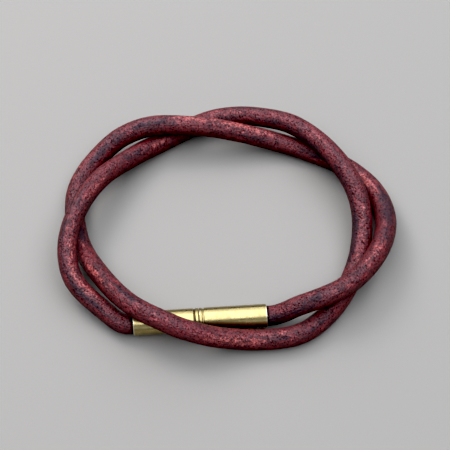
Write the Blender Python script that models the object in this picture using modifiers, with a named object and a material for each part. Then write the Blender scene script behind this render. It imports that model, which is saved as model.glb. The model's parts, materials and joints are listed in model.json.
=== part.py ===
"""Wrap bracelet: one round leather cord lying in a loose double loop, its two ends held in a brass barrel clasp.

Run it with: blender --background --python part.py
Units are metres and +Z is up. The bracelet lies on the plane z = 0 with its box centred on the origin,
and the clasp lies at the front, on the -Y side, nearly along X.
"""

import math

import bmesh
import bpy
import numpy as np

# Driving dimensions, in metres
CORD_DIAMETER = 0.0050
CORD_FLAT = 0.00015  # depth pressed flat on the soft underside, where the cord rests
PASS_GAP = 0.0009  # between the two stretches where the cord crosses itself
CLASP_WALL = 0.0003
CLASP_LEFT_LENGTH = 0.0157
CLASP_RIGHT_LENGTH = 0.0163
CORD_SEAT_DEPTH = 0.0110
RING_WIDTH = 0.0007
GROOVE_WIDTH = 0.0004
GROOVE_DEPTH = 0.00025
EDGE_BREAK = 0.00012
PIN_DIAMETER = 0.0024
PIN_SEAT_DEPTH = 0.0034

# Clearances, in metres
END_CLEARANCE = 0.0003  # between two faces that meet
SIDE_CLEARANCE = 0.0001  # all round what sits in a bore

# Where the clasp's parting plane lies, and how far the clasp turns from the X axis
CLASP_X = -0.0068
CLASP_Y = -0.0279
CLASP_TURN = math.radians(3.9)

# Fineness of the shapes
TURNED_STEPS = 36
CORD_BEVEL_RESOLUTION = 4
POINT_SPACING = 2 * CORD_DIAMETER
FINE_STEPS = 2000

# The cord's route from the clasp's right mouth, round twice, to its left mouth, as (x, y, lift).
# The lift is 0 where the cord rests on the surface and 1 where it passes over another stretch.
CORD_LEAD = 0.0010  # length that keeps the clasp's line past each mouth
CORD_ROUTE = (
    (0.0180, -0.0255, 0.67),
    (0.0260, -0.0230, 0.96),
    (0.0330, -0.0175, 1.00),
    (0.0388, -0.0080, 0.80),
    (0.0403, 0.0010, 0.45),
    (0.0380, 0.0100, 0.15),
    (0.0335, 0.0160, 0.00),
    (0.0250, 0.0213, 0.00),
    (0.0145, 0.0249, 0.15),
    (0.0035, 0.0264, 0.60),
    (-0.0075, 0.0270, 0.95),
    (-0.0175, 0.0271, 1.00),
    (-0.0275, 0.0248, 0.70),
    (-0.0343, 0.0191, 0.32),
    (-0.0390, 0.0110, 0.05),
    (-0.0390, 0.0010, 0.00),
    (-0.0365, -0.0075, 0.08),
    (-0.0310, -0.0170, 0.55),
    (-0.0230, -0.0265, 1.02),
    (-0.0165, -0.0305, 1.12),
    (-0.0095, -0.0330, 0.90),
    (-0.0015, -0.0335, 0.40),
    (0.0085, -0.0330, 0.03),
    (0.0174, -0.0314, 0.00),
    (0.0264, -0.0238, 0.00),
    (0.0310, -0.0160, 0.08),
    (0.0340, -0.0055, 0.35),
    (0.0335, 0.0055, 0.75),
    (0.0258, 0.0197, 1.00),
    (0.0183, 0.0271, 0.93),
    (0.0093, 0.0316, 0.60),
    (-0.0005, 0.0335, 0.20),
    (-0.0135, 0.0285, 0.00),
    (-0.0250, 0.0195, 0.35),
    (-0.0330, 0.0100, 0.85),
    (-0.0376, 0.0005, 1.00),
    (-0.0395, -0.0090, 0.92),
    (-0.0375, -0.0183, 0.55),
    (-0.0293, -0.0260, 0.15),
)

# Worked out from the sizes above
CORD_RADIUS = CORD_DIAMETER / 2
CORD_REST_HEIGHT = CORD_RADIUS - CORD_FLAT
CORD_LIFT_HEIGHT = CORD_DIAMETER + PASS_GAP
CORD_BORE_RADIUS = CORD_RADIUS + SIDE_CLEARANCE
CLASP_RADIUS = CORD_BORE_RADIUS + CLASP_WALL
PIN_BORE_RADIUS = PIN_DIAMETER / 2 + SIDE_CLEARANCE
PARTING_GAP = END_CLEARANCE


def clear_scene():
    for obj in list(bpy.data.objects):
        bpy.data.objects.remove(obj, do_unlink=True)


def new_collection(name):
    collection = bpy.data.collections.new(name)
    bpy.context.scene.collection.children.link(collection)
    return collection


def new_material(name, colour, roughness, metallic):
    material = bpy.data.materials.new(name)
    material.use_nodes = True
    shader = material.node_tree.nodes["Principled BSDF"]
    shader.inputs["Base Color"].default_value = (*colour, 1.0)
    shader.inputs["Roughness"].default_value = roughness
    shader.inputs["Metallic"].default_value = metallic
    return material


def new_empty(name, collection, parent=None):
    empty = bpy.data.objects.new(name, None)
    empty.empty_display_size = 0.01
    empty.parent = parent
    collection.objects.link(empty)
    return empty


def mesh_of(source, name, collection):
    """A mesh object of the source as it is evaluated, in the source's place, and the source removed."""
    bpy.context.view_layer.update()
    graph = bpy.context.evaluated_depsgraph_get()
    mesh = bpy.data.meshes.new_from_object(source.evaluated_get(graph))
    mesh.name = name
    welded = bmesh.new()
    welded.from_mesh(mesh)
    bmesh.ops.remove_doubles(welded, verts=welded.verts, dist=0.000001)
    welded.to_mesh(mesh)
    welded.free()
    obj = bpy.data.objects.new(name, mesh)
    obj.matrix_world = source.matrix_world.copy()
    collection.objects.link(obj)
    bpy.data.objects.remove(source, do_unlink=True)
    return obj


def shade_round(obj, sharp_angle):
    obj.data.shade_smooth()
    obj.data.set_sharp_from_angle(angle=sharp_angle)


def turned(name, profile, collection):
    """The solid that a profile of (radius, height) points makes when it turns about its own Z axis."""
    mesh = bpy.data.meshes.new(name + "_profile")
    points = [(radius, 0.0, height) for radius, height in profile]
    mesh.from_pydata(points, [(i, i + 1) for i in range(len(points) - 1)], [])
    source = bpy.data.objects.new(name + "_profile", mesh)
    collection.objects.link(source)
    screw = source.modifiers.new("turn", "SCREW")
    screw.axis = "Z"
    screw.steps = TURNED_STEPS
    screw.render_steps = TURNED_STEPS
    screw.use_merge_vertices = True
    screw.merge_threshold = 0.00001
    obj = mesh_of(source, name, collection)
    shade_round(obj, math.radians(30))
    return obj


def half_profile(length):
    """One clasp half, from the parting face at the top down to the cord's mouth at the bottom."""
    groove_top = -RING_WIDTH
    groove_bottom = groove_top - GROOVE_WIDTH
    seat = -length + CORD_SEAT_DEPTH
    return (
        (0.0, -PIN_SEAT_DEPTH),
        (PIN_BORE_RADIUS, -PIN_SEAT_DEPTH),
        (PIN_BORE_RADIUS, 0.0),
        (CLASP_RADIUS - EDGE_BREAK, 0.0),
        (CLASP_RADIUS, -EDGE_BREAK),
        (CLASP_RADIUS, groove_top),
        (CLASP_RADIUS - GROOVE_DEPTH, groove_top),
        (CLASP_RADIUS - GROOVE_DEPTH, groove_bottom),
        (CLASP_RADIUS, groove_bottom),
        (CLASP_RADIUS, -length + EDGE_BREAK),
        (CLASP_RADIUS - EDGE_BREAK, -length),
        (CORD_BORE_RADIUS, -length),
        (CORD_BORE_RADIUS, seat),
        (0.0, seat),
    )


def clasp_half(name, length, side, clasp, collection, brass):
    """side is 1 for the half that opens along the clasp's +X axis, and -1 for the other."""
    half = turned(name, half_profile(length), collection)
    half.parent = clasp
    half.location = (side * PARTING_GAP / 2, 0.0, 0.0)
    half.rotation_euler = (0.0, -side * math.pi / 2, 0.0)
    half.data.materials.append(brass)
    return half


def clasp_pin(clasp, collection, steel):
    """The plain pin inside, which holds the two halves together."""
    length = 2 * PIN_SEAT_DEPTH + PARTING_GAP - 2 * END_CLEARANCE
    bpy.ops.mesh.primitive_cylinder_add(vertices=TURNED_STEPS, radius=PIN_DIAMETER / 2, depth=length)
    pin = bpy.context.object
    pin.name = "clasp_pin"
    pin.data.name = "clasp_pin"
    for owner in list(pin.users_collection):
        owner.objects.unlink(pin)
    collection.objects.link(pin)
    pin.parent = clasp
    pin.rotation_euler = (0.0, math.pi / 2, 0.0)
    pin.data.materials.append(steel)
    shade_round(pin, math.radians(30))
    return pin


def clasp_line():
    """The middle of the parting plane on the clasp's axis, and the axis's direction."""
    middle = np.array((CLASP_X, CLASP_Y, CLASP_RADIUS))
    along = np.array((math.cos(CLASP_TURN), math.sin(CLASP_TURN), 0.0))
    return middle, along


def bend_slopes(at, points, first, last):
    """Slopes of the cubic spline through the points, whose slope at each end is given."""
    steps = np.diff(at)
    left = np.eye(len(at))
    right = points.copy()
    right[0] = first
    right[-1] = last
    for i in range(1, len(at) - 1):
        before, after = steps[i - 1], steps[i]
        left[i, i - 1 : i + 2] = (after, 2 * (before + after), before)
        rise_before = (points[i] - points[i - 1]) / before
        rise_after = (points[i + 1] - points[i]) / after
        right[i] = 3 * (after * rise_before + before * rise_after)
    return np.linalg.solve(left, right)


def height_slopes(at, heights):
    """Slopes that keep the height between its neighbours, so that the cord never dips into the surface."""
    steps = np.diff(at)
    rises = np.diff(heights) / steps
    slopes = np.zeros(len(at))
    for i in range(1, len(at) - 1):
        if rises[i - 1] * rises[i] > 0:
            before = steps[i - 1] + 2 * steps[i]
            after = 2 * steps[i - 1] + steps[i]
            slopes[i] = (before + after) / (before / rises[i - 1] + after / rises[i])
    return slopes


def smooth_curve(points, first, last):
    """Close points on the smooth curve through the route's points."""
    at = np.concatenate(([0.0], np.cumsum(np.linalg.norm(np.diff(points, axis=0), axis=1))))
    slopes = bend_slopes(at, points, first, last)
    slopes[:, 2] = height_slopes(at, points[:, 2])
    fine = np.linspace(0.0, at[-1], FINE_STEPS)
    i = np.clip(np.searchsorted(at, fine, side="right") - 1, 0, len(at) - 2)
    step = (at[i + 1] - at[i])[:, None]
    t = (fine - at[i])[:, None] / step
    return (
        (1 + 2 * t) * (1 - t) ** 2 * points[i]
        + t**2 * (3 - 2 * t) * points[i + 1]
        + step * t * (1 - t) ** 2 * slopes[i]
        - step * t**2 * (1 - t) * slopes[i + 1]
    )


def evenly_spaced(fine, spacing):
    """Points along a fine curve, about the spacing apart, with its two ends."""
    run = np.concatenate(([0.0], np.cumsum(np.linalg.norm(np.diff(fine, axis=0), axis=1))))
    at = np.linspace(0.0, run[-1], round(run[-1] / spacing) + 1)
    return np.column_stack([np.interp(at, run, fine[:, axis]) for axis in range(3)])


def cord_points():
    """The cord's centreline, from its end in the clasp's right half to its end in the left half."""
    middle, along = clasp_line()
    right_mouth = middle + along * (PARTING_GAP / 2 + CLASP_RIGHT_LENGTH)
    left_mouth = middle - along * (PARTING_GAP / 2 + CLASP_LEFT_LENGTH)
    inside = CORD_SEAT_DEPTH - END_CLEARANCE
    route = [(x, y, CORD_REST_HEIGHT + lift * CORD_LIFT_HEIGHT) for x, y, lift in CORD_ROUTE]
    free = np.array([right_mouth + along * CORD_LEAD, *route, left_mouth - along * CORD_LEAD])
    free = evenly_spaced(smooth_curve(free, along, along), POINT_SPACING)
    return np.vstack((right_mouth - along * inside, free, left_mouth + along * inside))


def tube_along(name, points, radius, collection):
    curve = bpy.data.curves.new(name, "CURVE")
    curve.dimensions = "3D"
    curve.twist_mode = "Z_UP"
    curve.bevel_depth = radius
    curve.bevel_resolution = CORD_BEVEL_RESOLUTION
    curve.use_fill_caps = True
    spline = curve.splines.new("POLY")
    spline.points.add(len(points) - 1)
    for point, place in zip(spline.points, points):
        point.co = (*place, 1.0)
    obj = bpy.data.objects.new(name, curve)
    collection.objects.link(obj)
    return obj


def surface_cutter(collection):
    """A block under the plane z = 0, which presses the cord's underside flat."""
    thickness = 2 * CORD_DIAMETER
    bpy.ops.mesh.primitive_cube_add(size=1.0)
    block = bpy.context.object
    block.name = "surface_cutter"
    for owner in list(block.users_collection):
        owner.objects.unlink(block)
    collection.objects.link(block)
    reach = 3 * max(max(abs(x), abs(y)) for x, y, lift in CORD_ROUTE)
    block.dimensions = (reach, reach, thickness)
    block.location = (0.0, 0.0, -thickness / 2)
    block.hide_render = True
    block.display_type = "WIRE"
    return block


def leather_cord(bracelet, collection, cutters, leather):
    tube = tube_along("leather_cord_tube", cord_points(), CORD_RADIUS, collection)
    cord = mesh_of(tube, "leather_cord", collection)
    cord.parent = bracelet
    press = cord.modifiers.new("press_flat", "BOOLEAN")
    press.operation = "DIFFERENCE"
    press.object = surface_cutter(cutters)
    cord.data.materials.clear()
    cord.data.materials.append(leather)
    shade_round(cord, math.radians(50))
    return cord


def clasp(bracelet, collection, brass, steel):
    holder = new_empty("clasp", collection, bracelet)
    middle, _ = clasp_line()
    holder.location = middle
    holder.rotation_euler = (0.0, 0.0, CLASP_TURN)
    clasp_half("clasp_right_half", CLASP_RIGHT_LENGTH, 1, holder, collection, brass)
    clasp_half("clasp_left_half", CLASP_LEFT_LENGTH, -1, holder, collection, brass)
    clasp_pin(holder, collection, steel)


def main():
    clear_scene()
    parts = new_collection("wrap_bracelet")
    cutters = new_collection("cutters")
    cutters.hide_render = True
    leather = new_material("oxblood_leather", (0.065, 0.014, 0.010), 0.42, 0.0)
    brass = new_material("brass", (0.62, 0.43, 0.17), 0.24, 1.0)
    steel = new_material("pin_steel", (0.55, 0.54, 0.52), 0.35, 1.0)
    bracelet = new_empty("bracelet", parts)
    leather_cord(bracelet, parts, cutters, leather)
    clasp(bracelet, parts, brass, steel)


main()
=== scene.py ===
"""The look of the wrap bracelet: its leather cord and brass clasp, with a floor, light and camera.

Units are metres and +Z is up. The bracelet lies on the plane z = 0, with the clasp at the front, which is
the -Y side.
"""

import json
import math

import bpy
import numpy as np
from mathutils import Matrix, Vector, noise

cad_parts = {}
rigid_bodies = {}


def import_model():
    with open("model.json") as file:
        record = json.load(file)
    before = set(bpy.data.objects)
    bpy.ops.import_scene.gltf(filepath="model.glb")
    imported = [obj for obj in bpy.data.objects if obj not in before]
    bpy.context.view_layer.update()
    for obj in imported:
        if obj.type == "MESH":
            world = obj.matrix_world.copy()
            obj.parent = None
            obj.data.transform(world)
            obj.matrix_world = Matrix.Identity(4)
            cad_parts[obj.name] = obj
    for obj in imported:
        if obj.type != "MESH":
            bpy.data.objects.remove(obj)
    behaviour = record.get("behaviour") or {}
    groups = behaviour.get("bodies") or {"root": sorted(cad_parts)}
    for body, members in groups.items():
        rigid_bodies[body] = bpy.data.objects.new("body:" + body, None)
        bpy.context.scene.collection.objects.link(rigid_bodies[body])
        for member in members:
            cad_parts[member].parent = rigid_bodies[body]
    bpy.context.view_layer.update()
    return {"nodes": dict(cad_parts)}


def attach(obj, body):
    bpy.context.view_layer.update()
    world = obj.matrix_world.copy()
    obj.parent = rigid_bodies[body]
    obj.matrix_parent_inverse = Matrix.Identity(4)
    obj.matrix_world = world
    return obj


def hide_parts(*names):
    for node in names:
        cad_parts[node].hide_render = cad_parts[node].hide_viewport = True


# Sizes that the cord and the clasp share with the solids
CORD_DIAMETER = 0.0050
CORD_FLAT = 0.00015
PASS_GAP = 0.0009
CLASP_WALL = 0.0003
CLASP_LEFT_LENGTH = 0.0157
CLASP_RIGHT_LENGTH = 0.0163
CORD_SEAT_DEPTH = 0.0110
RING_WIDTH = 0.0007
GROOVE_WIDTH = 0.0004
GROOVE_DEPTH = 0.00025
PIN_DIAMETER = 0.0024
PIN_SEAT_DEPTH = 0.0034
END_CLEARANCE = 0.0003
SIDE_CLEARANCE = 0.0001
CLASP_X = -0.0068
CLASP_Y = -0.0279
CLASP_TURN = math.radians(3.9)

# The cord's route from the clasp's right mouth, round twice, to its left mouth, as (x, y, lift)
CORD_LEAD = 0.0010
CORD_ROUTE = (
    (0.0180, -0.0255, 0.67),
    (0.0260, -0.0230, 0.96),
    (0.0330, -0.0175, 1.00),
    (0.0388, -0.0080, 0.80),
    (0.0403, 0.0010, 0.45),
    (0.0380, 0.0100, 0.15),
    (0.0335, 0.0160, 0.00),
    (0.0250, 0.0213, 0.00),
    (0.0145, 0.0249, 0.15),
    (0.0035, 0.0264, 0.60),
    (-0.0075, 0.0270, 0.95),
    (-0.0175, 0.0271, 1.00),
    (-0.0275, 0.0248, 0.70),
    (-0.0343, 0.0191, 0.32),
    (-0.0390, 0.0110, 0.05),
    (-0.0390, 0.0010, 0.00),
    (-0.0365, -0.0075, 0.08),
    (-0.0310, -0.0170, 0.55),
    (-0.0230, -0.0265, 1.02),
    (-0.0165, -0.0305, 1.12),
    (-0.0095, -0.0330, 0.90),
    (-0.0015, -0.0335, 0.40),
    (0.0085, -0.0330, 0.03),
    (0.0174, -0.0314, 0.00),
    (0.0264, -0.0238, 0.00),
    (0.0310, -0.0160, 0.08),
    (0.0340, -0.0055, 0.35),
    (0.0335, 0.0055, 0.75),
    (0.0258, 0.0197, 1.00),
    (0.0183, 0.0271, 0.93),
    (0.0093, 0.0316, 0.60),
    (-0.0005, 0.0335, 0.20),
    (-0.0135, 0.0285, 0.00),
    (-0.0250, 0.0195, 0.35),
    (-0.0330, 0.0100, 0.85),
    (-0.0376, 0.0005, 1.00),
    (-0.0395, -0.0090, 0.92),
    (-0.0375, -0.0183, 0.55),
    (-0.0293, -0.0260, 0.15),
)

# How thick the cord is along its way, as (distance from the right mouth, share of its diameter)
CORD_THICKNESS = (
    (0.000, 0.97),
    (0.025, 1.00),
    (0.045, 1.06),
    (0.075, 1.02),
    (0.108, 1.02),
    (0.124, 1.08),
    (0.138, 1.06),
    (0.150, 0.99),
    (0.175, 0.98),
    (0.200, 1.00),
    (0.250, 1.01),
    (0.295, 1.06),
    (0.315, 1.03),
    (0.332, 1.05),
    (0.346, 1.08),
    (0.360, 1.02),
    (0.380, 0.97),
    (0.416, 0.96),
)

# Where the leather is rubbed to a lighter red, and where it is dark: its dark dye, and painted shade on the
# lower sides of the back strands, as (distance from the right mouth in mm, turn round the cord in degrees,
# half length in mm, half turn in degrees, strength). A turn of 0 is the outer side of the loop and 90 is
# the top.
RUBBED_PATCHES = (
    (4, 85, 5, 25, 0.3),
    (19, 72, 5, 25, 0.4),
    (32, 86, 6, 22, 0.7),
    (42, 124, 7, 14, 0.25),
    (60, 112, 8, 22, 0.9),
    (96, 82, 10, 26, 1.1),
    (110, 70, 8, 28, 0.9),
    (114, 120, 3, 14, 0.6),
    (146, 60, 7, 22, 0.5),
    (168, 92, 3, 18, 0.7),
    (179, 56, 6, 16, 1.1),
    (196, 84, 8, 12, 0.4),
    (218, 54, 10, 28, 0.85),
    (228, 86, 5, 20, 0.55),
    (258, 95, 5, 22, 0.5),
    (270, 88, 6, 18, 0.6),
    (296, 100, 14, 14, 0.3),
    (326, 95, 8, 20, 0.4),
    (346, 124, 4, 16, 0.8),
    (370, 128, 9, 18, 0.6),
    (388, 114, 6, 20, 0.8),
    (398, 106, 8, 22, 1.0),
)
# Dark dye, and painted shade on the lower sides of the back strands
DYE_AND_SHADE_PATCHES = (
    (2, 30, 5, 42, 1.4),
    (9, 40, 6, 24, 1.1),
    (12, 68, 5, 28, 1.1),
    (18, 66, 2, 12, 0.8),
    (26, 84, 3, 14, 1.0),
    (46, 80, 12, 38, 1.2),
    (76, 130, 7, 30, 1.0),
    (94, 135, 8, 18, 0.9),
    (121, 108, 7, 28, 1.1),
    (137, 112, 10, 26, 1.1),
    (163, 110, 6, 30, 1.2),
    (190, 104, 9, 22, 1.1),
    (212, 66, 4, 16, 0.7),
    (230, 64, 2, 9, 1.4),
    (239, 62, 6, 18, 0.9),
    (260, 120, 6, 16, 0.5),
    (266, 146, 11, 34, 1.4),
    (282, 150, 8, 32, 1.1),
    (284, 112, 6, 16, 0.4),
    (296, 176, 14, 32, 1.2),
    (308, 150, 10, 28, 0.9),
    (324, 138, 9, 24, 0.7),
    (354, 118, 7, 24, 1.1),
    (377, 92, 4, 14, 1.0),
    (387, 62, 7, 13, 1.2),
    (401, 64, 13, 14, 1.4),
)

# Creases across the cord, as (distance from the right mouth in mm, turn in degrees, half turn in degrees,
# depth in mm, how far the crease slants along the cord in mm over its half turn)
CREASES = (
    (18.3, 80, 14, 0.05, 0.3),
    (29.5, 96, 10, 0.04, -0.2),
    (56.0, 120, 20, 0.04, 0.3),
    (74.5, 140, 26, 0.05, -0.4),
    (91.0, 118, 16, 0.05, 0.5),
    (113.0, 100, 18, 0.04, 0.3),
    (131.0, 135, 20, 0.05, -0.4),
    (148.5, 125, 24, 0.05, 0.3),
    (206.0, 50, 20, 0.05, 0.3),
    (229.3, 66, 12, 0.10, 0.5),
    (247.0, 120, 24, 0.06, 0.3),
    (256.5, 74, 15, 0.15, 0.3),
    (260.5, 128, 16, 0.09, -0.3),
    (264.0, 82, 16, 0.16, 0.4),
    (266.3, 122, 12, 0.08, 0.3),
    (268.2, 96, 12, 0.13, -0.5),
    (271.0, 108, 15, 0.16, 0.6),
    (274.2, 140, 14, 0.09, -0.2),
    (277.6, 130, 14, 0.14, 0.2),
    (280.2, 134, 12, 0.09, 0.3),
    (294.0, 135, 18, 0.05, 0.4),
    (323.0, 138, 20, 0.04, -0.3),
    (344.5, 150, 22, 0.05, 0.3),
    (372.0, 92, 12, 0.08, 0.4),
    (398.0, 100, 16, 0.06, -0.4),
)

CREASE_HALF_WIDTH = 0.36  # in mm

# The leather's low relief: lumps, pebbles and ribs, as (height in mm, fineness across the cord, fineness
# along it, shift of the pattern)
RELIEF_LAYERS = (
    (0.045, 0.35, 0.16, 0.0),
    (0.024, 0.90, 0.80, 0.0),
    (0.022, 0.30, 1.25, 7.0),
)

# Fineness of the meshes, and the angles above which their edges are sharp
CORD_SIDES = 64
CORD_RING_SPACING = 0.00035
FINE_STEPS = 4000
TURNED_STEPS = 96
EDGE_STEPS = 5
CORD_SHARP_ANGLE = math.radians(60)
CLASP_SHARP_ANGLE = math.radians(40)

# The cord at the clasp's mouths: how far out it is plain and round, and how far out it carries painted
# shade
PLAIN_AT_MOUTH = 0.0005
MOUTH_SHADE = 0.0006

# The clasp's finish: how deep a place is that holds full tarnish and painted shade, how wide the lighter
# rim band with its painted highlight is at each mouth, how much tarnish and painted shade each half has,
# and the radii of its round edges
TARNISH_DEPTH = 0.00022
LIP_WIDTH = 0.00030
TARNISH_RIGHT = 0.45
TARNISH_LEFT = 0.80
RING_EDGE = 0.00020
GROOVE_EDGE = 0.00004
BARREL_EDGE = 0.00012
MOUTH_EDGE = 0.00014
BORE_EDGE = 0.00006
# How far each half's end face comes into the parting gap, so that no light shows through
FACE_REACH = 0.00011

# The photograph's view: the point at its middle, the camera's height angle and distance, its lens and
# sensor width in mm, and how near it sees
VIEW_TARGET = Vector((-0.0005, 0.0010, 0.0))
VIEW_ELEVATION = math.radians(58)
VIEW_DISTANCE = 0.2698
VIEW_LENS = 83.3
SENSOR_WIDTH = 36.0
CLIP_START = 0.01

# The picture's tones
EXPOSURE = 0.45
GAMMA = 0.86
BLACK_LEVEL = 0.016

# Soft lights, as (name, place, the point it faces, size, power in watts, colour)
AREA_LIGHTS = (
    ("overhead", (0.0, 0.03, 0.60), (0.0, 0.03, 0.0), (1.25, 0.94), 10.1, (0.90, 0.96, 1.12)),
    ("rear", (0.0, 1.15, 0.60), (0.0, 1.15, 0.0), (1.8, 1.30), 12.5, (0.90, 0.96, 1.12)),
    ("front", (0.0, -1.00, 0.42), (0.0, 0.0, 0.0), (1.8, 0.55), 1.9, (0.90, 0.96, 1.12)),
    ("key", (-0.38, 0.40, 0.58), (0.0, 0.0, 0.0), (0.30, 0.30), 2.2, (0.98, 0.98, 1.00)),
)

# The light from all round, and the floor, which lies just under the bracelet
SKY_COLOUR = (0.75, 0.82, 0.95, 1.0)
SKY_STRENGTH = 0.10
FLOOR_SIZE = 3.0
FLOOR_DROP = 0.00005
FLOOR_COLOUR = (0.229, 0.212, 0.181, 1.0)
FLOOR_ROUGHNESS = 0.8

# Worked out from the sizes above
CORD_RADIUS = CORD_DIAMETER / 2
CORD_REST_HEIGHT = CORD_RADIUS - CORD_FLAT
CORD_LIFT_HEIGHT = CORD_DIAMETER + PASS_GAP
CORD_BORE_RADIUS = CORD_RADIUS + SIDE_CLEARANCE
CORD_INSIDE = CORD_SEAT_DEPTH - END_CLEARANCE
CLASP_RADIUS = CORD_BORE_RADIUS + CLASP_WALL
PIN_BORE_RADIUS = PIN_DIAMETER / 2 + SIDE_CLEARANCE
PARTING_GAP = END_CLEARANCE

MM = 0.001
# Places of the colour sockets on a Mix node
MIX_FIRST, MIX_SECOND, MIX_RESULT = 6, 7, 2


def clear_scene():
    for obj in list(bpy.data.objects):
        bpy.data.objects.remove(obj, do_unlink=True)


def add_object(name, data):
    obj = bpy.data.objects.new(name, data)
    bpy.context.scene.collection.objects.link(obj)
    return obj


def clasp_line():
    """The middle of the parting plane on the clasp's axis, and the axis's direction."""
    middle = np.array((CLASP_X, CLASP_Y, CLASP_RADIUS))
    along = np.array((math.cos(CLASP_TURN), math.sin(CLASP_TURN), 0.0))
    return middle, along


def clasp_mouths():
    """The middles of the clasp's right and left mouths."""
    middle, along = clasp_line()
    right_mouth = middle + along * (PARTING_GAP / 2 + CLASP_RIGHT_LENGTH)
    left_mouth = middle - along * (PARTING_GAP / 2 + CLASP_LEFT_LENGTH)
    return right_mouth, left_mouth


# The cord's line


def distances(points):
    """How far along the line through the points each of them lies."""
    return np.concatenate(([0.0], np.cumsum(np.linalg.norm(np.diff(points, axis=0), axis=1))))


def bend_slopes(at, points, first, last):
    """Slopes of the cubic spline through the points, whose slope at each end is given."""
    steps = np.diff(at)
    left = np.eye(len(at))
    right = points.copy()
    right[0] = first
    right[-1] = last
    for i in range(1, len(at) - 1):
        before, after = steps[i - 1], steps[i]
        left[i, i - 1 : i + 2] = (after, 2 * (before + after), before)
        rise_before = (points[i] - points[i - 1]) / before
        rise_after = (points[i + 1] - points[i]) / after
        right[i] = 3 * (after * rise_before + before * rise_after)
    return np.linalg.solve(left, right)


def height_slopes(at, heights):
    """Slopes that keep the height between its neighbours, so that the cord never dips into the surface."""
    steps = np.diff(at)
    rises = np.diff(heights) / steps
    slopes = np.zeros(len(at))
    for i in range(1, len(at) - 1):
        if rises[i - 1] * rises[i] > 0:
            before = steps[i - 1] + 2 * steps[i]
            after = 2 * steps[i - 1] + steps[i]
            slopes[i] = (before + after) / (before / rises[i - 1] + after / rises[i])
    return slopes


def smooth_curve(points, first, last):
    """Close points on the smooth curve through the route's points."""
    at = distances(points)
    slopes = bend_slopes(at, points, first, last)
    slopes[:, 2] = height_slopes(at, points[:, 2])
    fine = np.linspace(0.0, at[-1], FINE_STEPS)
    i = np.clip(np.searchsorted(at, fine, side="right") - 1, 0, len(at) - 2)
    step = (at[i + 1] - at[i])[:, None]
    t = (fine - at[i])[:, None] / step
    return (
        (1 + 2 * t) * (1 - t) ** 2 * points[i]
        + t**2 * (3 - 2 * t) * points[i + 1]
        + step * t * (1 - t) ** 2 * slopes[i]
        - step * t**2 * (1 - t) * slopes[i + 1]
    )


def evenly_spaced(fine, spacing):
    """Points along a fine curve, about the spacing apart, with its two ends."""
    run = distances(fine)
    at = np.linspace(0.0, run[-1], round(run[-1] / spacing) + 1)
    return np.column_stack([np.interp(at, run, fine[:, axis]) for axis in range(3)])


def cord_line():
    """Ring centres along the whole cord, and each one's distance from the clasp's right mouth."""
    _, along = clasp_line()
    right_mouth, left_mouth = clasp_mouths()
    route = [(x, y, CORD_REST_HEIGHT + lift * CORD_LIFT_HEIGHT) for x, y, lift in CORD_ROUTE]
    free = np.array([right_mouth + along * CORD_LEAD, *route, left_mouth - along * CORD_LEAD])
    free = smooth_curve(free, along, along)
    line = np.vstack((right_mouth - along * CORD_INSIDE, free, left_mouth + along * CORD_INSIDE))
    line = evenly_spaced(line, CORD_RING_SPACING)
    return line, distances(line) - CORD_INSIDE


# The leather cord


def cord_relief(place_mm):
    """How far the leather stands out at a place on the cord, which is given in millimetres."""
    x, y, distance = place_mm
    relief = 0.0
    for height, across, along, shift in RELIEF_LAYERS:
        relief += height * noise.noise(Vector((x * across + shift, y * across, distance * along)))
    return relief * MM


def turned_from(turns, turn):
    """How far the turns are from one of them, in degrees from -180 to 180."""
    return (np.degrees(turns) - turn + 180) % 360 - 180


def crease_depths(run, turns):
    """How deep the creases go at each ring and each turn round it."""
    depths = np.zeros((len(run), len(turns)))
    for distance, turn, half_turn, depth, slant in CREASES:
        around = turned_from(turns, turn) / half_turn
        along = (run[:, None] / MM - distance - slant * around[None, :]) / CREASE_HALF_WIDTH
        depths = np.maximum(depths, depth * MM * np.exp(-(along**2) - around[None, :] ** 2))
    return depths


def patch_weights(run, turns, patches):
    """How strongly the patches act at each ring and each turn round it."""
    weights = np.zeros((len(run), len(turns)))
    for distance, turn, half_length, half_turn, strength in patches:
        along = (run / MM - distance) / half_length
        around = turned_from(turns, turn) / half_turn
        spread = np.exp(-(along[:, None] ** 2) - around[None, :] ** 2)
        weights = np.maximum(weights, strength * spread)
    return weights


def mouth_shade(run, free_length):
    """How much painted shade lies on each ring where the cord goes into the clasp's two mouths."""
    return np.exp(-((run / MOUTH_SHADE) ** 2)) + np.exp(-(((free_length - run) / MOUTH_SHADE) ** 2))


def store_values(mesh, name, values):
    stored = mesh.attributes.new(name, "FLOAT", "POINT")
    stored.data.foreach_set("value", values.astype(np.float32).ravel())


def cord_points(line, run, turns, creases, free_length):
    """The cord's surface points, ring by ring, and each one's place on the cord in millimetres."""
    ahead = np.gradient(line, axis=0)
    ahead /= np.linalg.norm(ahead, axis=1)[:, None]
    side = np.cross(ahead, (0.0, 0.0, 1.0))
    side /= np.linalg.norm(side, axis=1)[:, None]
    above = np.cross(side, ahead)
    at, share = np.array(CORD_THICKNESS).T
    radius = CORD_RADIUS * np.interp(run, at, share)
    plain = (run < PLAIN_AT_MOUTH) | (run > free_length - PLAIN_AT_MOUTH)
    points = []
    places = []
    for i, centre in enumerate(line):
        for j, turn in enumerate(turns):
            place = (CORD_RADIUS / MM * math.cos(turn), CORD_RADIUS / MM * math.sin(turn), run[i] / MM)
            reach = radius[i] + (0.0 if plain[i] else cord_relief(place) - creases[i, j])
            point = centre + reach * (math.cos(turn) * side[i] + math.sin(turn) * above[i])
            points.append((point[0], point[1], max(point[2], 0.0)))
            places.append(place)
    return points, places


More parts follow.
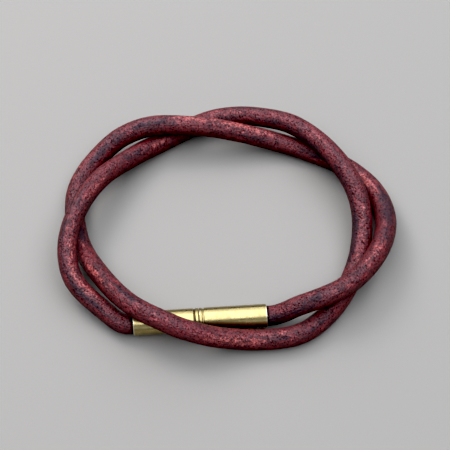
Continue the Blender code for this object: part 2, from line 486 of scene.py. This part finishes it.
def cord_faces(rings):
    """The faces between the cord's rings, and the two flat ends."""
    faces = []
    for i in range(rings - 1):
        a = i * CORD_SIDES
        b = a + CORD_SIDES
        for j in range(CORD_SIDES):
            k = (j + 1) % CORD_SIDES
            faces.append((a + j, a + k, b + k, b + j))
    faces.append(tuple(range(CORD_SIDES - 1, -1, -1)))
    faces.append(tuple(range((rings - 1) * CORD_SIDES, rings * CORD_SIDES)))
    return faces


def cord_mesh(line, run):
    free_length = run[-1] - CORD_INSIDE
    turns = np.linspace(0.0, 2 * math.pi, CORD_SIDES, endpoint=False)
    creases = crease_depths(run, turns)
    points, places = cord_points(line, run, turns, creases, free_length)
    mesh = bpy.data.meshes.new("leather_cord_surface")
    mesh.from_pydata(points, [], cord_faces(len(line)))
    mesh.shade_smooth()
    mesh.set_sharp_from_angle(angle=CORD_SHARP_ANGLE)
    stored = mesh.attributes.new("place_mm", "FLOAT_VECTOR", "POINT")
    stored.data.foreach_set("vector", np.array(places, np.float32).ravel())
    store_values(mesh, "rub", patch_weights(run, turns, RUBBED_PATCHES))
    store_values(mesh, "dye_and_shade", patch_weights(run, turns, DYE_AND_SHADE_PATCHES))
    # Crease depths, and painted shade where the cord goes into the clasp's mouths
    shade = mouth_shade(run, free_length)[:, None]
    store_values(mesh, "crease_and_mouth_shade", np.maximum(creases / creases.max(), shade))
    return mesh


def leather_cord():
    line, run = cord_line()
    mesh = cord_mesh(line, run)
    cord = add_object("leather_cord_surface", mesh)
    mesh.materials.append(leather_material())
    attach(cord, "root")
    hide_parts("leather_cord")


# Materials


class Nodes:
    """A short way to write a material's nodes."""

    def __init__(self, name):
        self.material = bpy.data.materials.new(name)
        self.material.use_nodes = True
        self.tree = self.material.node_tree
        self.shader = self.tree.nodes["Principled BSDF"]

    def attribute(self, name):
        return self.add("ShaderNodeAttribute", attribute_name=name).outputs

    def add(self, kind, **settings):
        node = self.tree.nodes.new(kind)
        for key, value in settings.items():
            setattr(node, key, value)
        return node

    def join(self, start, end):
        self.tree.links.new(start, end)

    def scaled(self, vector, scale):
        mapping = self.add("ShaderNodeMapping")
        mapping.inputs["Scale"].default_value = scale
        self.join(vector, mapping.inputs["Vector"])
        return mapping.outputs["Vector"]

    def noise(self, vector, scale, detail, roughness=0.55):
        node = self.add("ShaderNodeTexNoise")
        node.inputs["Scale"].default_value = scale
        node.inputs["Detail"].default_value = detail
        node.inputs["Roughness"].default_value = roughness
        self.join(vector, node.inputs["Vector"])
        return node.outputs["Fac"]

    def ramp(self, value, low, high, start=0.0, end=1.0):
        node = self.add("ShaderNodeMapRange", interpolation_type="SMOOTHSTEP")
        self.join(value, node.inputs["Value"])
        node.inputs["From Min"].default_value = low
        node.inputs["From Max"].default_value = high
        node.inputs["To Min"].default_value = start
        node.inputs["To Max"].default_value = end
        return node.outputs["Result"]

    def math(self, operation, first, second):
        node = self.add("ShaderNodeMath", operation=operation)
        for socket, value in zip(node.inputs, (first, second)):
            if isinstance(value, float):
                socket.default_value = value
            else:
                self.join(value, socket)
        return node.outputs["Value"]

    def mix(self, share, first, second, blend="MIX"):
        node = self.add("ShaderNodeMix", data_type="RGBA", blend_type=blend)
        self.join(share, node.inputs["Factor"])
        for index, value in ((MIX_FIRST, first), (MIX_SECOND, second)):
            if isinstance(value, tuple):
                node.inputs[index].default_value = (*value, 1.0)
            else:
                self.join(value, node.inputs[index])
        return node.outputs[MIX_RESULT]

    def bump(self, height, distance, normal=None):
        node = self.add("ShaderNodeBump")
        node.inputs["Distance"].default_value = distance
        self.join(height, node.inputs["Height"])
        if normal is not None:
            self.join(normal, node.inputs["Normal"])
        return node.outputs["Normal"]


def leather_material():
    nodes = Nodes("oxblood_leather")
    place = nodes.attribute("place_mm")["Vector"]
    rub = nodes.attribute("rub")["Fac"]
    dye_and_shade = nodes.attribute("dye_and_shade")["Fac"]
    crease_and_mouth_shade = nodes.attribute("crease_and_mouth_shade")["Fac"]
    apart = nodes.add("ShaderNodeSeparateXYZ")
    nodes.join(place, apart.inputs["Vector"])

    maroon = (0.135, 0.0120, 0.0150)
    deep = (0.040, 0.0032, 0.0050)
    pit = (0.012, 0.0018, 0.0024)
    dark = (0.024, 0.0076, 0.0125)
    rubbed = (0.405, 0.1180, 0.0980)
    worn_red = (0.200, 0.0240, 0.0210)
    speck = (0.420, 0.1500, 0.1300)
    # painted shade, multiplied into the underside below
    shadow = (0.55, 0.42, 0.45)

    # The dye: fine speckle, mottles and streaks along the cord over slow changes of tone
    speckle = nodes.noise(nodes.scaled(place, (1.0, 1.0, 0.85)), 1.7, detail=2.0, roughness=0.75)
    mottle = nodes.noise(nodes.scaled(place, (0.85, 0.85, 0.55)), 1.0, detail=2.0, roughness=0.6)
    streak = nodes.noise(nodes.scaled(place, (1.1, 1.1, 0.20)), 1.0, detail=2.0, roughness=0.6)
    tone = nodes.noise(nodes.scaled(place, (0.22, 0.22, 0.10)), 1.0, detail=2.0, roughness=0.6)
    dye = nodes.math("MULTIPLY", speckle, 0.30)
    for layer, share in ((mottle, 0.40), (streak, 0.30), (tone, 0.20)):
        dye = nodes.math("ADD", dye, nodes.math("MULTIPLY", layer, share))
    colour = nodes.mix(nodes.ramp(dye, 0.47, 0.72), deep, maroon)

    # Rubbed places, broken up by the mottles, streaks and speckle
    wear = nodes.math("MULTIPLY", rub, 0.20)
    for layer, share in ((mottle, 0.40), (streak, 0.25), (speckle, 0.30)):
        wear = nodes.math("ADD", wear, nodes.math("MULTIPLY", layer, share))
    light = nodes.mix(nodes.ramp(speckle, 0.44, 0.60), worn_red, rubbed)
    colour = nodes.mix(nodes.ramp(wear, 0.55, 0.72, 0.0, 0.95), colour, light)

    # Fine light specks, most of them on rubbed places
    specks = nodes.ramp(nodes.noise(place, 3.1, detail=2.0, roughness=0.5), 0.55, 0.68)
    specks = nodes.math("MULTIPLY", specks, nodes.ramp(rub, 0.0, 0.8, 0.14, 0.60))
    colour = nodes.mix(specks, colour, speck)

    # Dark dye with painted shade on the lower sides of the back strands, dark pores, darkened creases, and
    # painted shade where the cord goes into the clasp's mouths
    cloud = nodes.noise(nodes.scaled(place, (0.45, 0.45, 0.25)), 1.0, detail=4.0, roughness=0.7)
    dark_dye_and_shade = nodes.math("ADD", nodes.math("MULTIPLY", dye_and_shade, 0.28), nodes.math("MULTIPLY", cloud, 0.60))
    dark_dye_and_shade = nodes.math("ADD", dark_dye_and_shade, nodes.math("MULTIPLY", mottle, -0.25))
    dark_dye_and_shade = nodes.ramp(dark_dye_and_shade, 0.27, 0.50, 0.0, 0.85)
    colour = nodes.mix(dark_dye_and_shade, colour, dark)
    pores = nodes.ramp(nodes.noise(place, 2.4, detail=2.0, roughness=0.5), 0.53, 0.65)
    colour = nodes.mix(nodes.math("MULTIPLY", pores, 0.55), colour, pit)
    # Darkened creases, and painted shade at the clasp's mouths
    colour = nodes.mix(nodes.ramp(crease_and_mouth_shade, 0.25, 0.75, 0.0, 0.9), colour, pit)

    # Painted shade: the underside's colour is darkened, more the lower a place lies on the cord. The
    # underside is also duller.
    low = nodes.ramp(apart.outputs["Y"], -1.0, 2.0, 1.0, 0.0)
    colour = nodes.mix(low, colour, shadow, blend="MULTIPLY")
    nodes.join(colour, nodes.shader.inputs["Base Color"])

    rough = nodes.ramp(mottle, 0.40, 0.60, 0.54, 0.40)
    rough = nodes.math("ADD", rough, nodes.math("MULTIPLY", low, 0.25))
    nodes.join(rough, nodes.shader.inputs["Roughness"])

    # Pores, creases, the clasp's mouths, the dark dye with its painted-shade patches, and the underside
    # shine less. The plain value serves where links are dropped.
    dull = nodes.math("MULTIPLY", pores, 0.85)
    for layer, share in ((crease_and_mouth_shade, 1.0), (dark_dye_and_shade, 0.40), (low, 0.80)):
        dull = nodes.math("MAXIMUM", dull, nodes.math("MULTIPLY", layer, share))
    shine = nodes.shader.inputs["Specular IOR Level"]
    shine.default_value = 0.40
    nodes.join(nodes.ramp(dull, 0.0, 1.0, 0.53, 0.05), shine)

    # The grain, in metres of height
    ribs = nodes.noise(nodes.scaled(place, (0.35, 0.35, 1.9)), 1.0, detail=3.0, roughness=0.6)
    normal = None
    for layer, height in ((speckle, 0.00036), (pores, -0.00003), (mottle, 0.00020), (ribs, 0.00014)):
        normal = nodes.bump(layer, height, normal)
    nodes.join(normal, nodes.shader.inputs["Normal"])
    return nodes.material


def brass_material():
    nodes = Nodes("worn_brass")
    place = nodes.add("ShaderNodeTexCoord").outputs["Object"]
    recess_tarnish_and_shade = nodes.attribute("recess_tarnish_and_shade")["Fac"]
    lip = nodes.attribute("lip")["Fac"]
    bright = (0.396, 0.319, 0.147)
    dull = (0.311, 0.248, 0.114)
    tarnish_and_gap_shade = (0.060, 0.040, 0.018)
    worn_rim_and_highlight = (0.59, 0.53, 0.36)
    cloud = nodes.noise(place, 420.0, detail=4.0, roughness=0.65)
    colour = nodes.mix(nodes.ramp(cloud, 0.42, 0.70), bright, dull)
    # A lighter band at each mouth's rim: brass worn bright, and a painted highlight along the rim
    colour = nodes.mix(nodes.ramp(lip, 0.30, 0.70), colour, worn_rim_and_highlight)
    # Tarnish in the grooves, and painted shade on the end faces in the parting gap and in the bores
    colour = nodes.mix(nodes.ramp(recess_tarnish_and_shade, 0.30, 0.90), colour, tarnish_and_gap_shade)
    nodes.join(colour, nodes.shader.inputs["Base Color"])
    nodes.shader.inputs["Metallic"].default_value = 1.0
    rough = nodes.ramp(cloud, 0.35, 0.70, 0.25, 0.38)
    rough = nodes.math("ADD", rough, nodes.math("MULTIPLY", recess_tarnish_and_shade, 0.30))
    nodes.join(rough, nodes.shader.inputs["Roughness"])
    lines = nodes.noise(nodes.scaled(place, (60.0, 60.0, 9000.0)), 1.0, detail=2.0)
    nodes.join(nodes.bump(lines, 0.000004), nodes.shader.inputs["Normal"])
    return nodes.material


def pin_material():
    nodes = Nodes("steel_painted_dark_for_gap_shade")
    place = nodes.add("ShaderNodeTexCoord").outputs["Object"]
    rings = nodes.noise(nodes.scaled(place, (6000.0, 400.0, 400.0)), 1.0, detail=2.0)
    # The steel is painted very dark: painted shade for the parting gap, where the pin shows between the
    # halves
    bright = (0.10, 0.095, 0.09)
    dull = (0.06, 0.057, 0.054)
    nodes.join(nodes.mix(nodes.ramp(rings, 0.40, 0.65), bright, dull), nodes.shader.inputs["Base Color"])
    nodes.shader.inputs["Metallic"].default_value = 1.0
    nodes.join(nodes.ramp(rings, 0.35, 0.70, 0.28, 0.42), nodes.shader.inputs["Roughness"])
    nodes.join(nodes.bump(rings, 0.000005), nodes.shader.inputs["Normal"])
    return nodes.material


# The brass clasp


def rounded(before, corner, after, radius):
    """Points of a round edge at a profile's corner, from the side of the point before to that after."""
    before, corner, after = (np.array(p, float) for p in (before, corner, after))
    back = (before - corner) / np.linalg.norm(before - corner)
    forth = (after - corner) / np.linalg.norm(after - corner)
    half = math.acos(float(np.clip(back @ forth, -1, 1))) / 2
    start = corner + back * radius / math.tan(half)
    end = corner + forth * radius / math.tan(half)
    middle = corner + (back + forth) / np.linalg.norm(back + forth) * radius / math.sin(half)
    points = []
    for step in range(EDGE_STEPS + 1):
        t = step / EDGE_STEPS
        chord = start * (1 - t) + end * t - middle
        points.append(tuple(middle + chord / np.linalg.norm(chord) * radius))
    return points


def half_profile(length):
    """One clasp half as (radius, height) points, from the pin's bore at the top down to the cord's bore."""
    groove_top = -RING_WIDTH
    groove_bottom = groove_top - GROOVE_WIDTH
    seat = -length + CORD_SEAT_DEPTH
    # As (radius, height, radius of the round edge there, or 0 for a sharp one)
    corners = (
        (0.0, -PIN_SEAT_DEPTH, 0.0),
        (PIN_BORE_RADIUS, -PIN_SEAT_DEPTH, 0.0),
        (PIN_BORE_RADIUS, FACE_REACH, 0.0),
        (CLASP_RADIUS - 2 * TARNISH_DEPTH, FACE_REACH, 0.0),
        (CLASP_RADIUS, FACE_REACH, RING_EDGE),
        (CLASP_RADIUS, groove_top, RING_EDGE),
        (CLASP_RADIUS - GROOVE_DEPTH, groove_top, GROOVE_EDGE),
        (CLASP_RADIUS - GROOVE_DEPTH, groove_bottom, GROOVE_EDGE),
        (CLASP_RADIUS, groove_bottom, BARREL_EDGE),
        (CLASP_RADIUS, -length + 4 * LIP_WIDTH, 0.0),
        (CLASP_RADIUS, -length + 2 * LIP_WIDTH, 0.0),
        (CLASP_RADIUS, -length + LIP_WIDTH, 0.0),
        (CLASP_RADIUS, -length, MOUTH_EDGE),
        (CORD_BORE_RADIUS, -length, BORE_EDGE),
        (CORD_BORE_RADIUS, seat, 0.0),
        (0.0, seat, 0.0),
    )
    profile = []
    for i, (radius, height, edge) in enumerate(corners):
        if edge:
            profile += rounded(corners[i - 1][:2], (radius, height), corners[i + 1][:2], edge)
        else:
            profile.append((radius, height))
    return profile


def turned_mesh(name, profile, tarnish_and_gap_shade):
    """A profile from axis to axis, turned about Z from the top down, with tarnish and painted shade in its
    recesses.
    """
    points = [(0.0, 0.0, profile[0][1])]
    for radius, height in profile[1:-1]:
        for step in range(TURNED_STEPS):
            turn = 2 * math.pi * step / TURNED_STEPS
            points.append((radius * math.cos(turn), radius * math.sin(turn), height))
    points.append((0.0, 0.0, profile[-1][1]))
    faces = []
    rings = len(profile) - 2
    for step in range(TURNED_STEPS):
        following = (step + 1) % TURNED_STEPS
        faces.append((0, 1 + step, 1 + following))
        for ring in range(rings - 1):
            a = 1 + ring * TURNED_STEPS
            b = a + TURNED_STEPS
            faces.append((a + step, b + step, b + following, a + following))
        a = 1 + (rings - 1) * TURNED_STEPS
        faces.append((a + step, len(points) - 1, a + following))
    mesh = bpy.data.meshes.new(name)
    mesh.from_pydata(points, [], faces)
    mesh.shade_smooth()
    mesh.set_sharp_from_angle(angle=CLASP_SHARP_ANGLE)
    reach = np.array([math.hypot(x, y) for x, y, _ in points])
    height = np.array([z for _, _, z in points])
    mouth = min(z for _, z in profile)
    outside = reach > CORD_BORE_RADIUS + CLASP_WALL / 2
    # Tarnish in the grooves, and painted shade on the end face in the parting gap and in the bores
    store_values(mesh, "recess_tarnish_and_shade", tarnish_and_gap_shade * np.clip((CLASP_RADIUS - reach) / TARNISH_DEPTH, 0.0, 1.0))
    store_values(mesh, "lip", np.where(outside, np.exp(-(((height - mouth) / LIP_WIDTH) ** 2)), 0.0))
    return mesh


def clasp_half(name, node, length, side, tarnish_and_gap_shade, brass):
    """One half of the clasp, on the right of the parting line if the side is 1 and on the left if -1."""
    half = add_object(name, turned_mesh(name, half_profile(length), tarnish_and_gap_shade))
    middle, along = clasp_line()
    half.location = middle + along * side * PARTING_GAP / 2
    half.rotation_euler = (0.0, -side * math.pi / 2, CLASP_TURN)
    half.data.materials.append(brass)
    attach(half, "root")
    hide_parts(node)


def clasp(frame):
    brass = brass_material()
    clasp_half("brass_right_half", "clasp_right_half", CLASP_RIGHT_LENGTH, 1, TARNISH_RIGHT, brass)
    clasp_half("brass_left_half", "clasp_left_half", CLASP_LEFT_LENGTH, -1, TARNISH_LEFT, brass)
    steel = pin_material()
    for slot in frame["nodes"]["clasp_pin"].material_slots:
        slot.material = steel


# Floor, light and camera


def floor():
    bpy.ops.mesh.primitive_plane_add(size=FLOOR_SIZE, location=(0.0, 0.0, -FLOOR_DROP))
    plane = bpy.context.object
    plane.name = "floor"
    nodes = Nodes("pale_floor")
    nodes.shader.inputs["Base Color"].default_value = FLOOR_COLOUR
    nodes.shader.inputs["Roughness"].default_value = FLOOR_ROUGHNESS
    plane.data.materials.append(nodes.material)


def area_light(name, place, aim, size, power, colour):
    data = bpy.data.lights.new(name, "AREA")
    data.shape = "RECTANGLE"
    data.size, data.size_y = size
    data.energy = power
    data.color = colour
    light = add_object(name, data)
    light.location = place
    light.rotation_euler = (Vector(aim) - Vector(place)).to_track_quat("-Z", "Y").to_euler()


def lights():
    world = bpy.data.worlds.new("studio")
    bpy.context.scene.world = world
    world.use_nodes = True
    background = world.node_tree.nodes["Background"]
    background.inputs["Color"].default_value = SKY_COLOUR
    background.inputs["Strength"].default_value = SKY_STRENGTH
    for row in AREA_LIGHTS:
        area_light(*row)


def camera():
    data = bpy.data.cameras.new("camera")
    data.sensor_width = SENSOR_WIDTH
    data.lens = VIEW_LENS
    data.clip_start = CLIP_START
    view = add_object("camera", data)
    back = Vector((0.0, -math.cos(VIEW_ELEVATION), math.sin(VIEW_ELEVATION)))
    view.location = VIEW_TARGET + back * VIEW_DISTANCE
    view.rotation_euler = (-back).to_track_quat("-Z", "Y").to_euler()
    bpy.context.scene.camera = view
    tones = bpy.context.scene.view_settings
    tones.view_transform = "Standard"
    tones.exposure = EXPOSURE
    tones.gamma = GAMMA
    tones.use_curve_mapping = True
    tones.curve_mapping.black_level = (BLACK_LEVEL, BLACK_LEVEL, BLACK_LEVEL)
    tones.curve_mapping.update()


clear_scene()
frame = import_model()
camera()
leather_cord()
clasp(frame)
floor()
lights()
bpy.context.view_layer.update()
